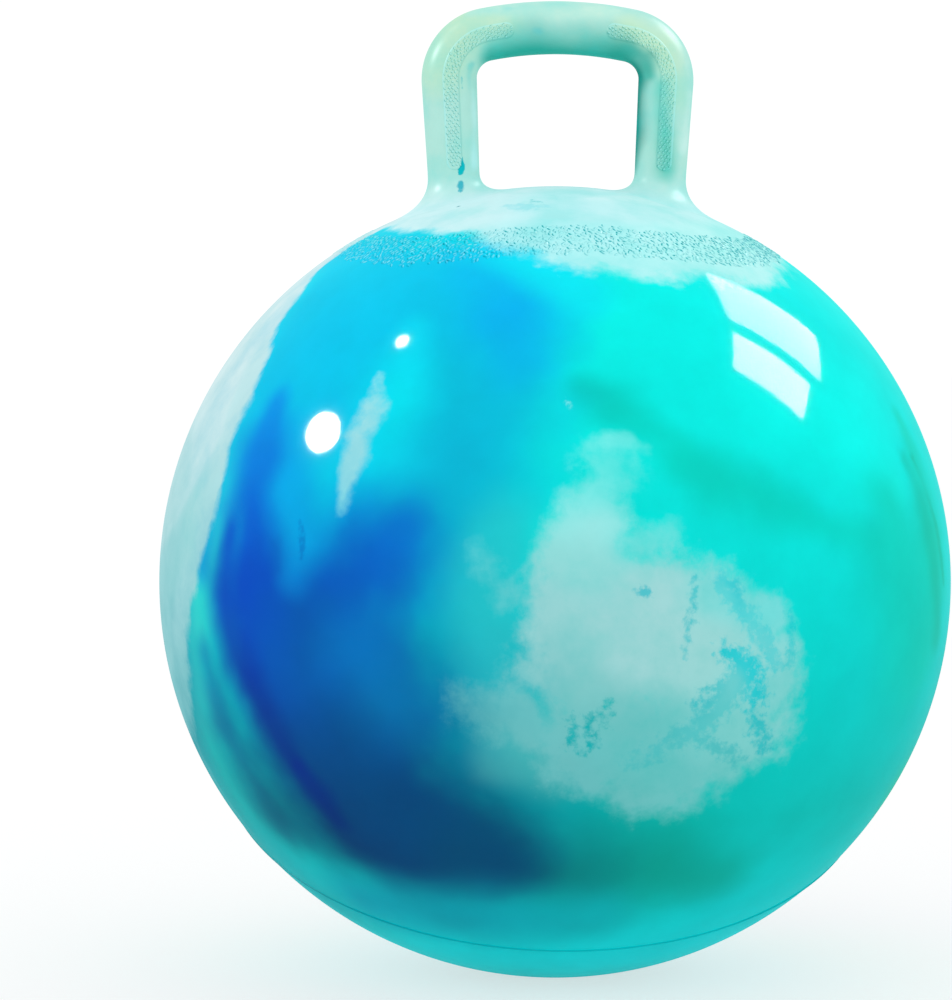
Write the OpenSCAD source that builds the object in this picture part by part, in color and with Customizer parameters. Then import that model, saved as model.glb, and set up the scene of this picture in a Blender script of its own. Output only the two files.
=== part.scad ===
// A hopper ball: a blown-up vinyl ball with a hollow D handle moulded on its top,
// and a push-in plug at its back that keeps the air in.
// The origin is the middle of the flat that the ball presses on the floor.
// +Z is up through the handle, X runs along its bar, and the back is at +Y.

/* [Ball] */
// Diameter of the inflated ball
ball_d = 457.2; // [400:0.1:560]
// Thickness of the stretched skin
skin_t = 1.2; // [0.9:0.1:3]
// Diameter of the flat that the ball presses on the floor
foot_d = 56; // [20:1:110]

/* [Mould line] */
// Thickness of the fine bead left where the mould closed
bead_d = 1.2; // [0.6:0.1:1.6]
// Angle from the pole of the mould line to the line
line_angle = 56; // [40:1:70]
// Lean of that pole, from straight down towards the back
line_tilt = 25; // [0:1:30]

/* [Handle] */
// Outer width of the handle at its widest
handle_w = 157; // [135:1:185]
// Height of the handle's top above the top of the ball
handle_rise = 106; // [95:1:135]
// Thickness of the bar, seen from the front
bar_t = 30.4; // [26:0.1:34]
// Thickness of a leg under its corner, seen from the front
leg_t = 31.8; // [26:0.1:36]
// Thickness of a leg at its foot, seen from the front
leg_foot_t = 29.8; // [25:0.1:36]
// Thickness of the whole grip from front to back
grip_depth = 30; // [26:0.1:36]
// Outer radius of the arched top
arch_r = 225; // [180:1:400]
// Radius of the two corners, along the middle of the grip
corner_r = 26; // [20:0.5:32]
// Lean of the legs towards each other at the ball
leg_lean = 3; // [0:0.5:6]
// Wall of the hollow grip
grip_wall = 3; // [2:0.1:5]
// Height of the fillet up the side of a leg that faces away from the other leg
root_out_rise = 17; // [8:0.5:20]
// Height of the fillet up the side of a leg that faces the other leg
root_in_rise = 12; // [6:0.5:16]
// Reach of the fillet over the ball, as a share of its height up the leg
root_reach_share = 1.35; // [0.8:0.05:1.5]

/* [Grip strips] */
// Width of a raised strip
strip_w = 9.4; // [6:0.1:12]
// Height of a raised strip above the grip
strip_h = 0.6; // [0.3:0.1:1.2]
// Distance along the bar from its middle to the end of a strip
strip_gap = 26.6; // [12:0.1:30]
// Distance along the leg from the fillet to the end of a strip
strip_foot = 2; // [1:0.5:8]

/* [Valve seat] */
// Angle from the top of the ball down its back to the valve
valve_angle = 65; // [50:1:80]
// Diameter of the rim that fills the hole in the skin
rim_d = 21; // [20:0.1:26]
// Diameter of the flange bonded inside the skin
flange_d = 32; // [28:0.5:40]
// Thickness of that flange
flange_t = 1.6; // [1:0.1:3]
// Thickness of the bond between the seat and the skin
bond_t = 0.2; // [0.1:0.05:0.3]
// Outer diameter of the collar round the bore
collar_d = 14.5; // [12:0.1:18]
// Depth of the seat from the outside of the ball
seat_depth = 10; // [8:0.1:12]
// Diameter of the recess for the plug's head
recess_d = 17.4; // [15:0.1:18]
// Depth of that recess
recess_t = 1.9; // [1.5:0.1:2.5]
// Diameter of the bore that the plug and the pump's nozzle enter
bore_d = 8.4; // [7:0.1:9.5]

/* [Plug] */
// Length of the plug under its head
plug_len = 17; // [14:0.1:22]
// Thickness of the plug's head at its edge
head_t = 1.5; // [1.2:0.1:1.5]
// Rise of the head's shallow dome
dome_h = 0.3; // [0.2:0.1:0.3]
// Diameter of the plug between its rings
plug_waist_d = 7.2; // [6:0.1:7.4]
// Diameter of the plug's tip
plug_tip_d = 5.6; // [5:0.1:6.4]
// Diameter of the plug's hollow core
core_d = 3.4; // [2:0.1:4]
// Depth of the plug's hollow core
core_len = 13; // [8:0.1:14]
// Height of one sealing ring on the plug
ring_h = 1.2; // [0.8:0.1:1.4]
// Radial clearance of the plug in its bore
plug_fit = 0.05; // [0.02:0.01:0.09]
// Radial clearance of the plug's head in its recess
head_fit = 0.3; // [0.2:0.1:0.5]

/* [Hidden] */
$fn = 128;
// Fine steps of the ball, so that the small pieces cut from it keep their volume
ball_fn = 256;
// Length that a cut runs past what it cuts
overrun = 1;
// Depth below the ball's surface where a root fillet ends, so that it meets the ball at a clear angle
root_sink = 0.6;
// Width of the slope at the edge of a grip strip
strip_slope = 0.5;

ball_r = ball_d / 2;
// Height of the ball's centre above the floor
ball_z = sqrt(ball_r * ball_r - foot_d * foot_d / 4);

// The middle line of the grip, measured from the ball's centre: half an arch, a corner and a leg
arch_mid_r = arch_r - bar_t / 2;
arch_z = ball_r + handle_rise - arch_r;
corner_x = (handle_w - leg_t) / 2 - corner_r;
arch_end = asin(corner_x / (arch_mid_r - corner_r));
corner_z = arch_z + (arch_mid_r - corner_r) * cos(arch_end);
leg_dir = [-sin(leg_lean), 0, -cos(leg_lean)];

// A place on the middle line is its point and its outward direction, at an angle from straight up
function turned(angle) = [sin(angle), 0, cos(angle)];
function arch_place(run) = let (a = run / arch_mid_r * 180 / PI)
    [[0, 0, arch_z] + arch_mid_r * turned(a), turned(a)];
function corner_place(share) = let (a = arch_end + (90 + leg_lean - arch_end) * share)
    [[corner_x, 0, corner_z] + corner_r * turned(a), turned(a)];
function leg_place(run) = let (start = corner_place(1)) [start[0] + run * leg_dir, start[1]];

// Distance from a point, in a given direction, to the surface of the ball
function ball_hit(p, dir) = let (b = p * dir) -b - sqrt(b * b - p * p + ball_r * ball_r);
// Direction away from the middle line at an angle round the grip, where 90 is the back
function away(place, angle) = cos(angle) * place[1] + sin(angle) * [0, 1, 0];
function on_grip(place, t, depth, angle) =
    place[0] + cos(angle) * t / 2 * place[1] + sin(angle) * depth / 2 * [0, 1, 0];

// Round one section of the grip: angles, each with 1 where the strip stands up and 0 elsewhere
side_points = 11;
function side_marks(from, edge) = [for (i = [1:side_points])
    [from + edge + (180 - 2 * edge) * i / (side_points + 1), 0]];
function strip_marks(middle, half, edge) = [[middle - edge, 0], [middle - half, 1], [middle, 1],
    [middle + half, 1], [middle + edge, 0]];
function marks(share) = let (half = asin(strip_w * share / grip_depth),
    edge = half + asin(2 * strip_slope / grip_depth))
    concat(side_marks(-90, edge), strip_marks(90, half, edge),
        side_marks(90, edge), strip_marks(270, half, edge));
function section(place, t, share, rise) = [for (m = marks(share))
    on_grip(place, t, grip_depth, m[0]) + m[1] * rise * strip_h * away(place, m[0])];

// A strip has round ends: places along an end as shares of its half width, with the width there
end_width_share = 0.2;
end_shares = [for (s = [0, 0.1, 0.4, 1]) [s, max(sqrt(1 - pow(1 - s, 2)), end_width_share), s > 0 ? 1 : 0]];
// Where the legs' sides reach the ball, and how far up the fillet starts
root_marks = marks(end_width_share);
function root_rise(angle) = root_in_rise + (root_out_rise - root_in_rise) * (1 + cos(angle)) / 2;
function foot_side(angle) = on_grip(leg_place(0), leg_foot_t, grip_depth, angle);
strip_run = min([for (m = root_marks) ball_hit(foot_side(m[0]), leg_dir) - root_rise(m[0])]) - strip_foot;
function leg_t_at(run) = leg_t + (leg_foot_t - leg_t) * min(run / strip_run, 1);

// One ring of the root: each side of the leg follows a curve that leaves the leg and runs out on the ball
function root_curve(angle, share) = let (
    foot = foot_side(angle) + ball_hit(foot_side(angle), leg_dir) * leg_dir,
    start = foot - root_rise(angle) * leg_dir,
    out = foot + root_reach_share * root_rise(angle) * away(leg_place(0), angle),
    end = (ball_r - root_sink) * out / norm(out))
    pow(1 - share, 2) * start + 2 * share * (1 - share) * foot + pow(share, 2) * end;
root_steps = 6;
corner_steps = 9;

grip_half = concat(
    [for (share = [0, 0.5]) section(arch_place(share * strip_gap), bar_t, end_width_share, 0)],
    [for (e = end_shares) section(arch_place(strip_gap + e[0] * strip_w / 2), bar_t, e[1], e[2])],
    [for (i = [0:corner_steps]) let (share = i / corner_steps)
        section(corner_place(share), bar_t + (leg_t - bar_t) * share, 1, 1)],
    [for (i = [len(end_shares) - 1:-1:0]) let (e = end_shares[i], run = strip_run - e[0] * strip_w / 2)
        section(leg_place(run), leg_t_at(run), e[1], e[2])],
    [for (i = [0:root_steps]) [for (m = root_marks) root_curve(m[0], i / root_steps)]]);

// The hollow of the grip, which runs on into the ball
hollow_points = 20;
hollow_steps = 6;
root_run = ball_hit(leg_place(0)[0], leg_dir);
function hollow_ring(place, t) = [for (i = [0:hollow_points - 1])
    on_grip(place, t - 2 * grip_wall, grip_depth - 2 * grip_wall, 360 * i / hollow_points)];
hollow_half = concat(
    [for (share = [0, 0.5]) hollow_ring(arch_place(share * arch_mid_r * arch_end * PI / 180), bar_t)],
    [for (i = [0:hollow_steps]) let (share = i / hollow_steps)
        hollow_ring(corner_place(share), bar_t + (leg_t - bar_t) * share)],
    [for (run = [strip_run, root_run + root_out_rise]) hollow_ring(leg_place(run), leg_foot_t)]);

// Both halves of a tube, from its left end to its right one, closed into a solid
function mirrored(ring) = [for (p = ring) [-p[0], p[1], p[2]]];
function both(half) = concat([for (i = [len(half) - 1:-1:1]) mirrored(half[i])], half);
module tube(rings) {
    n = len(rings[0]);
    sides = [for (i = [0:len(rings) - 2]) for (j = [0:n - 1]) let (k = (j + 1) % n)
        each [[i * n + j, i * n + k, (i + 1) * n + k], [i * n + j, (i + 1) * n + k, (i + 1) * n + j]]];
    last = (len(rings) - 1) * n;
    caps = [[for (j = [n - 1:-1:0]) j], [for (j = [0:n - 1]) last + j]];
    polyhedron([for (ring = rings) for (p = ring) p], concat(sides, caps));
}

// Places measured from the ball's centre, and from there out through the valve
module at_centre() {
    translate([0, 0, ball_z]) children();
}
module at_valve() {
    at_centre() rotate([-valve_angle, 0, 0]) children();
}
// A disc round the valve's axis between two depths below the outside of the ball
module valve_disc(d, from_depth, to_depth) {
    translate([0, 0, ball_r - to_depth]) cylinder(d = d, h = to_depth - from_depth);
}
// The ball's own round form, flattened on the floor
module ball_form(inset) {
    intersection() {
        at_centre() sphere(ball_r - inset, $fn = ball_fn);
        translate([0, 0, inset]) cylinder(r = ball_d, h = 2 * ball_d);
    }
}

// The skin of the ball, open under both legs, with its mould line
module ball_shell() {
    color([0.06, 0.66, 0.80])
    difference() {
        union() {
            ball_form(0);
            at_centre() rotate([line_tilt, 0, 0]) translate([0, 0, -ball_r * cos(line_angle)])
                rotate_extrude() translate([ball_r * sin(line_angle), 0]) circle(d = bead_d, $fn = 16);
        }
        ball_form(skin_t);
        at_valve() valve_disc(rim_d + 2 * bond_t, -overrun, seat_depth);
        for (side = [-1, 1])
            at_centre() translate([side * leg_place(root_run)[0][0], 0, leg_place(root_run)[0][2]])
                rotate([0, side * leg_lean, 0])
                    cylinder(d = grip_depth - 2 * grip_wall, h = 2 * root_out_rise, center = true);
    }
}

// The hollow D handle, with a grip strip on the front and the back of each half
module handle() {
    color([0.70, 0.91, 0.84])
    difference() {
        at_centre() tube(both(grip_half));
        at_centre() tube(both(hollow_half));
        at_centre() sphere(ball_r, $fn = ball_fn);
    }
}

// The moulded seat bonded into the skin: rim, inner flange and collar round a straight bore
module valve_seat() {
    color([0.86, 0.93, 0.94])
    difference() {
        union() {
            intersection() {
                at_centre() sphere(ball_r, $fn = ball_fn);
                at_valve() valve_disc(rim_d, -overrun, skin_t + bond_t + flange_t);
            }
            intersection() {
                at_centre() sphere(ball_r - skin_t - bond_t, $fn = ball_fn);
                at_valve() valve_disc(flange_d, 0, skin_t + bond_t + flange_t);
            }
            at_valve() valve_disc(collar_d, recess_t, seat_depth);
        }
        at_valve() valve_disc(recess_d, -overrun, recess_t);
        at_valve() valve_disc(bore_d, -overrun, seat_depth + overrun);
    }
}

// The push-in plug: a domed head, a stem with sealing rings and a hollow core, turned about its own axis
ring_r = bore_d / 2 - plug_fit;
waist_r = plug_waist_d / 2;
tip_r = plug_tip_d / 2;
head_r = recess_d / 2 - head_fit;
// Radius of the ball that the dome is a cap of
dome_r = (head_r * head_r + dome_h * dome_h) / (2 * dome_h);
ring_share = [0.16, 0.42, 0.68];
module plug_ring(share) {
    translate([0, -plug_len * share])
        polygon([[0, -ring_h], [waist_r, -ring_h], [ring_r, -ring_h / 4], [ring_r, ring_h / 4],
            [waist_r, ring_h], [0, ring_h]]);
}
module plug_profile() {
    square([head_r, head_t]);
    intersection() {
        translate([0, head_t + dome_h - dome_r]) circle(dome_r);
        translate([0, head_t]) square([head_r, dome_h]);
    }
    polygon([[0, -plug_len], [tip_r, -plug_len], [waist_r, -plug_len * ring_share[2]], [waist_r, head_t / 2],
        [0, head_t / 2]]);
    for (share = ring_share) plug_ring(share);
}
module valve_plug() {
    color([0.95, 0.96, 0.96])
    at_valve() translate([0, 0, ball_r - recess_t]) rotate_extrude() difference() {
        plug_profile();
        translate([0, -plug_len - overrun]) square([core_d / 2, core_len + overrun]);
    }
}

ball_shell();
handle();
valve_seat();
valve_plug();
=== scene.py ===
"""A hopper ball, dressed: a marbled vinyl ball with a hollow D handle moulded on its top.

Everything is in metres in the part's own frame: the ball stands on z = 0, +Z is up, X runs
along the handle's bar, and the front, which the photograph shows, faces -Y.
"""
import math

import bpy
import numpy as np
from mathutils import Matrix, Vector


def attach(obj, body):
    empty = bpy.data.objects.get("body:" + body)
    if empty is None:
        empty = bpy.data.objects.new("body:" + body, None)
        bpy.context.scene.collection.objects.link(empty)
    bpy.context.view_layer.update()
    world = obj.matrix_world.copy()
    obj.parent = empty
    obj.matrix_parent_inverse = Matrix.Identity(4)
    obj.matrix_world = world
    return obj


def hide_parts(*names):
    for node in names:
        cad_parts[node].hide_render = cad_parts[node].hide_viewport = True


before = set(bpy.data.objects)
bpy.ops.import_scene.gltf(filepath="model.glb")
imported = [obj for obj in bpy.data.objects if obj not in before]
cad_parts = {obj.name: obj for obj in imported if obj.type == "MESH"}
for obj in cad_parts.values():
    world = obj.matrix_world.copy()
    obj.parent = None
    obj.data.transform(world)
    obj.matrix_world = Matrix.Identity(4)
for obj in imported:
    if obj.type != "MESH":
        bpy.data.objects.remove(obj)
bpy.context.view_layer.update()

# The camera
# It stands 5 degrees left of the front and 5 degrees above the ball's middle, 2.5 m away, and is
# turned so that the ball's middle falls on the photograph's pixel for it.
BALL_R = 0.2286
FOOT_R = 0.028
BALL_Z = math.sqrt(BALL_R ** 2 - FOOT_R ** 2)
BALL_MIDDLE = np.array([0, 0, BALL_Z])
CAMERA_TURN = -5
CAMERA_RISE = 5
CAMERA_ROLL = math.radians(0.4)
CAMERA_DISTANCE = 2.5
PHOTO_SIZE = (952, 1000)
PHOTO_BALL_MIDDLE = (554.4, 581.2)
PHOTO_BALL_RADIUS = 395.6


def towards(turn, rise):
    """The direction at degrees round from the front and above level: (sin t cos r, -cos t cos r, sin r)."""
    t, r = math.radians(turn), math.radians(rise)
    return np.array([math.sin(t) * math.cos(r), -math.cos(t) * math.cos(r), math.sin(r)])


def photo_camera():
    """The focal length follows from the ball's radius in the photograph: a ball of radius r at
    distance d shows a radius of f r / sqrt(d d - r r)."""
    ball = Vector(BALL_MIDDLE)
    back = Vector(towards(CAMERA_TURN, CAMERA_RISE))
    focal = PHOTO_BALL_RADIUS * math.sqrt(CAMERA_DISTANCE ** 2 - BALL_R ** 2) / BALL_R
    data = bpy.data.cameras.new("photo_camera")
    data.sensor_width = 36.0
    data.lens = focal * data.sensor_width / max(PHOTO_SIZE)
    camera = bpy.data.objects.new("photo_camera", data)
    bpy.context.scene.collection.objects.link(camera)
    across = math.atan2(PHOTO_BALL_MIDDLE[0] - PHOTO_SIZE[0] / 2, focal)
    down = math.atan2(PHOTO_BALL_MIDDLE[1] - PHOTO_SIZE[1] / 2, focal)
    facing = (-back).to_track_quat("-Z", "Y").to_matrix()
    aim = Matrix.Rotation(CAMERA_ROLL, 3, "Z") @ Matrix.Rotation(across, 3, "Y")
    aim = aim @ Matrix.Rotation(down, 3, "X")
    camera.matrix_world = Matrix.Translation(ball + back * CAMERA_DISTANCE) @ (facing @ aim).to_4x4()
    bpy.context.scene.camera = camera


photo_camera()

# The skin of the ball
# One moulding of soft vinyl, turned in a hot mould until it coats the wall, about 1.2 mm thick once
# it is blown up. It presses itself flat where it stands, and is pierced only for the valve.
SKIN_T = 0.0012
VALVE_ANGLE = math.radians(65)
VALVE_AXIS = np.array([0.0, math.sin(VALVE_ANGLE), math.cos(VALVE_ANGLE)])
VALVE_HOLE_R = 0.0107
SKIN_RINGS = 240
INNER_RINGS = 40
SKIN_SPOKES = 300
FOOT_EDGE = 0.0006
LIP_STEPS = np.array([0.0001, 0.0004, 0.0009])


def shown(name, vertices, faces):
    """Puts vertices and faces into the scene as a smooth piece at the origin."""
    mesh = bpy.data.meshes.new(name)
    mesh.from_pydata(vertices.tolist(), [], faces)
    mesh.polygons.foreach_set("use_smooth", np.ones(len(mesh.polygons), dtype=bool))
    mesh.update()
    piece = bpy.data.objects.new(name, mesh)
    bpy.context.scene.collection.objects.link(piece)
    return piece


def grid_mesh(name, points, along=False, first_pole=False, last_pole=False):
    """A surface over a grid of points [i, j] whose rows are closed rings. along also joins the last
    ring to the first, and a pole closes an end ring with a fan round its middle point."""
    rows, columns = points.shape[:2]
    i = np.arange(rows if along else rows - 1)[:, None]
    j = np.arange(columns)[None, :]
    after_i, after_j = (i + 1) % rows, (j + 1) % columns
    corners = [i * columns + j, i * columns + after_j, after_i * columns + after_j, after_i * columns + j]
    faces = np.stack([corner.ravel() for corner in corners], axis=1).tolist()
    vertices = points.reshape(-1, 3)
    ring = np.arange(columns)
    if first_pole:
        faces += np.stack([np.roll(ring, -1), ring, np.full(columns, len(vertices))], axis=1).tolist()
        vertices = np.vstack([vertices, points[0].mean(axis=0)])
    if last_pole:
        ring = (rows - 1) * columns + ring
        faces += np.stack([ring, np.roll(ring, -1), np.full(columns, len(vertices))], axis=1).tolist()
        vertices = np.vstack([vertices, points[-1].mean(axis=0)])
    return shown(name, vertices, faces)


def turns(count):
    """Angles evenly round a circle."""
    return np.linspace(0, 2 * math.pi, count, endpoint=False)


def round_axis(axis, turn):
    """The direction square to an axis that itself is square to X, at a turn from X: cos turn side
    + sin turn (side cross axis)."""
    side = np.array([1.0, 0.0, 0.0])
    return np.cos(turn) * side + np.sin(turn) * np.cross(side, axis)


def soft_floor(z, edge):
    """z, held at or above zero, with a rounded corner of the given size where it meets the floor."""
    return np.maximum(z, 0) + np.maximum(edge - np.abs(z), 0) ** 2 / (4 * edge)


def skin_surface():
    """A sphere in rings round the valve's axis: the inner wall from its far pole to the valve's hole,
    over the rounded lip, and the outer wall back to the far pole. A point is the centre
    + r (cos a axis + sin a the direction round it), raised to the floor."""
    hole = math.asin(VALVE_HOLE_R / BALL_R)
    lip = LIP_STEPS / BALL_R
    inner = np.concatenate([np.linspace(math.pi, hole, INNER_RINGS + 1)[1:-1], hole + lip[::-1]])
    outer = np.concatenate([hole + lip, np.linspace(hole, math.pi, SKIN_RINGS + 1)[1:-1]])
    a = np.concatenate([inner, outer])[:, None, None]
    depth = np.concatenate([np.full(len(inner), SKIN_T), np.zeros(len(outer))])[:, None]
    away = np.cos(a) * VALVE_AXIS + np.sin(a) * round_axis(VALVE_AXIS, turns(SKIN_SPOKES)[None, :, None])
    points = (BALL_R - depth[..., None]) * away
    points[..., 2] = soft_floor(points[..., 2] + BALL_Z - depth, FOOT_EDGE) + depth
    return points


ball_skin = grid_mesh("ball_skin", skin_surface(), first_pole=True, last_pole=True)
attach(ball_skin, "ball")
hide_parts("ball_shell")

# The marbled vinyl
# Coloured pastes run into each other while the mould turns: deep blue sweeps and milky clouds over
# aqua, ragged where they meet. The colour goes through the skin, so it is read at a point in space.
# The aqua by rise grows darker down to 30 degrees below the middle, partly painted shade, and lighter again
# towards the bottom, painted light from the white floor.
AQUA_WITH_PAINTED_LIGHT_BY_RISE = {90: "#02F0EA", 45: "#02F2EC", 25: "#02EAE2", 5: "#02E0DA", -12: "#02D2CC", -30: "#02C6BE",
                -48: "#02D8D8", -60: "#04E8EC", -90: "#08F8F8"}
# A sweep is how soft and how ragged its edge is, its strength, and the places that it runs through:
# degrees round from the front, degrees above the ball's middle, half its width in millimetres, and
# its colour there. A place with five values starts with x, y and z in millimetres from the ball's top.
PASTE_SWEEPS = [
    (1, 0.2, 0.8, [(34, 31, 34, "#04FCF2"), (46, 26, 36, "#04FCF2"), (53, 17, 18, "#04FCF0")]),
    (1, 0.8, 0.7, [(64, 26, 6, "#02D8C0"), (64, 14, 18, "#02D0B6"), (64, 2, 22, "#02D0B6"),
        (60, -10, 16, "#02D0BE")]),
    (0.8, 0.9, 0.6, [(63, 20, 2.5, "#02B898"), (67, 10, 3.5, "#02B898"), (69, 2, 3, "#02B898")]),
    (1, 0.6, 0.8, [(14, 21, 10, "#02D2C0"), (19, 18, 14, "#02CEBC"), (26, 15, 13, "#02D0BE"),
        (35, 11, 7, "#02DACA"), (46, 8, 12, "#02D6C6")]),
    (1, 0.6, 0.8, [(-0.5, 31.5, 9, "#02C8BA"), (4, 28.5, 12, "#02CABC"), (11, 24, 8, "#02D8CA")]),
    # A dark teal band low on the front, partly painted shade under the ball.
    (1, 0.3, 1, [(26, -40, 20, "#02B4A6"), (14, -38, 30, "#02A698"), (0, -38, 36, "#028C8C"),
        (-10, -37, 30, "#027484")]),
    (1, 0.4, 1, [(-92, 44, 30, "#B0DCE0"), (-92, 26, 70, "#A4D4DA"), (-92, 2, 74, "#84C8D0"),
        (-90, -14, 40, "#60BCC8")]),
    (0.7, 0.4, 1, [(-72, 52, 50, "#02D2F0"), (-46, 46, 66, "#02CCF0"), (-28, 46, 56, "#02C8F0"),
        (-19, 46, 36, "#02C2F0")]),
    (0.9, 0.4, 1, [(-62, 30, 55, "#02C4EC"), (-38, 26, 64, "#02C8F0"), (-26, 30, 52, "#02C2E8")]),
    (1, 0.4, 1, [(-28, 15, 42, "#02B6DA"), (-18, 28, 42, "#02BCDC")]),
    (1, 0.6, 0.8, [(-20, 51, 16, "#02BEF2"), (-12, 44, 26, "#02ACF0"), (-11, 37, 20, "#02B4EC")]),
    (1, 0.6, 0.9, [(-22, 57, 10, "#04D8F6"), (-10, 54, 14, "#04E4F8"), (1, 49, 15, "#04E8F6")]),
    (1, 0.4, 0.9, [(-19, 12, 28, "#02B0D2"), (-18, -5, 36, "#02A8C2"), (-15, -17, 32, "#0294AE"),
        (-6, -26, 26, "#029CA6")]),
    (1, 0.4, 0.9, [(-32, 40, 10, "#02DCF6"), (-31, 30, 20, "#02E4F4"), (-32, 22, 22, "#02DAF2"),
        (-38, 15, 20, "#02D2F2"), (-44, 8, 10, "#02A8E0")]),
    (0.9, 0.4, 0.9, [(-76, 48, 14, "#04E0F6"), (-68, 36, 14, "#02D0F0"), (-64, 18, 12, "#02C4E6"),
        (-64, 4, 10, "#02A6DC")]),
    # The deep blue turns navy towards its lower end, partly painted shade.
    (0.8, 0.4, 1, [(-55, 27, 10, "#0298EA"), (-53, 20, 22, "#0282E2"), (-51, 12, 28, "#0266D4"),
        (-50, 2, 38, "#0246C4"), (-46, -8, 46, "#0246B0"), (-42, -20, 48, "#024288"),
        (-39, -31, 46, "#02396E"), (-30, -36, 40, "#024474"), (-18, -37, 30, "#025078")]),
    (0.9, 0.5, 1, [(-46, -3, 34, "#0250C6"), (-38, 1, 40, "#0258C8"), (-31, 7, 34, "#0268CE"),
        (-26, 12, 18, "#0278D0")]),
    (0.9, 0.4, 1, [(-37, -8, 48, "#025CB0"), (-32, -16, 50, "#025090"), (-29, -26, 48, "#024A80"),
        (-20, -33, 34, "#024E78")]),
    (1, 0.4, 0.8, [(-32, -5, 22, "#0278C4"), (-28, -10, 26, "#0278B8")]),
    (1, 0.5, 0.9, [(-46, 16, 14, "#02B0EE"), (-43, 10, 16, "#02A8E6"), (-44, 4, 9, "#0286D6")]),
    (1, 0.6, 0.5, [(-48, 9, 4, "#0260C0"), (-47, 5, 4, "#0260C0")]),
    (1, 0.5, 0.8, [(-57, 10, 6, "#0250CC"), (-58, 1, 12, "#023CBE"), (-56, -7, 14, "#0434AC"),
        (-51, -15, 12, "#063094"), (-47, -22, 7, "#043888")]),
    (1, 0.5, 0.6, [(-46, -23, 5, "#06288C"), (-44, -27, 8, "#042484"), (-42, -31, 6, "#042A7C")]),
    (1, 0.5, 0.75, [(50, 14, 18, "#04D4BE"), (53, 6, 36, "#04D0BA"), (56, -6, 32, "#04CEBA")]),
    (0.9, 0.6, 0.5, [(59, 20, 5, "#02C0A4"), (63, 8, 9, "#02BCA0"), (66, -6, 8, "#02BCA0")]),
    # A lighter cyan band down the lower left edge, partly a painted reflection of the white surroundings at
    # the rim.
    (1, 0.4, 1, [(-68, 3, 7, "#10C0D4"), (-73, -8, 22, "#08A8BC"), (-80, -20, 40, "#0CA0AC"),
        (-77, -33, 44, "#14B2B6"), (-64, -48, 34, "#10C0C6")]),
    # A brighter turquoise band near the bottom, painted light from the white floor.
    (1, 0.3, 0.8, [(-46, -48, 22, "#04A4BC"), (-20, -49, 24, "#04A8BC"), (2, -49, 20, "#04BCC4")]),
    (1, 0.6, 0.8, [(-64, -8, 10, "#0290BC"), (-62, -18, 18, "#026A9C"), (-56, -32, 24, "#024E78")]),
    (1, 0.8, 0.7, [(-12, 12, 16, "#24CCCE"), (-13, 2, 20, "#28C8CC"), (-11, -6, 18, "#2CBCC4")]),
    (1, 0.9, 0.7, [(-10, -17, 19, "#54C0C0"), (-3, -22, 14, "#48B8B8")]),
    (0.8, 0.6, 0.8, [(75, -30, 20, "#02C8AC"), (95, -36, 30, "#02C4A6"), (120, -46, 20, "#02C8B4")]),
    (0.8, 0.5, 0.9, [(96, 10, 30, "#02C8E8"), (112, 30, 50, "#02BCEC"), (140, 42, 50, "#02B4EE"),
        (168, 44, 30, "#02C8EC")]),
    (0.8, 0.5, 1, [(100, 32, 16, "#028CE0"), (116, 10, 36, "#0260CC"), (130, -14, 46, "#0252B0"),
        (150, -30, 40, "#024A90"), (172, -40, 20, "#025C90")]),
    (0.8, 0.6, 0.9, [(-118, 42, 18, "#02C0EC"), (-126, 20, 30, "#02B8E8"), (-138, -4, 30, "#0298D8"),
        (-146, -28, 20, "#02A8C8")]),
    (0.9, 0.6, 0.8, [(-130, 16, 8, "#027CD4"), (-140, -6, 14, "#026CC8")]),
]
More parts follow.
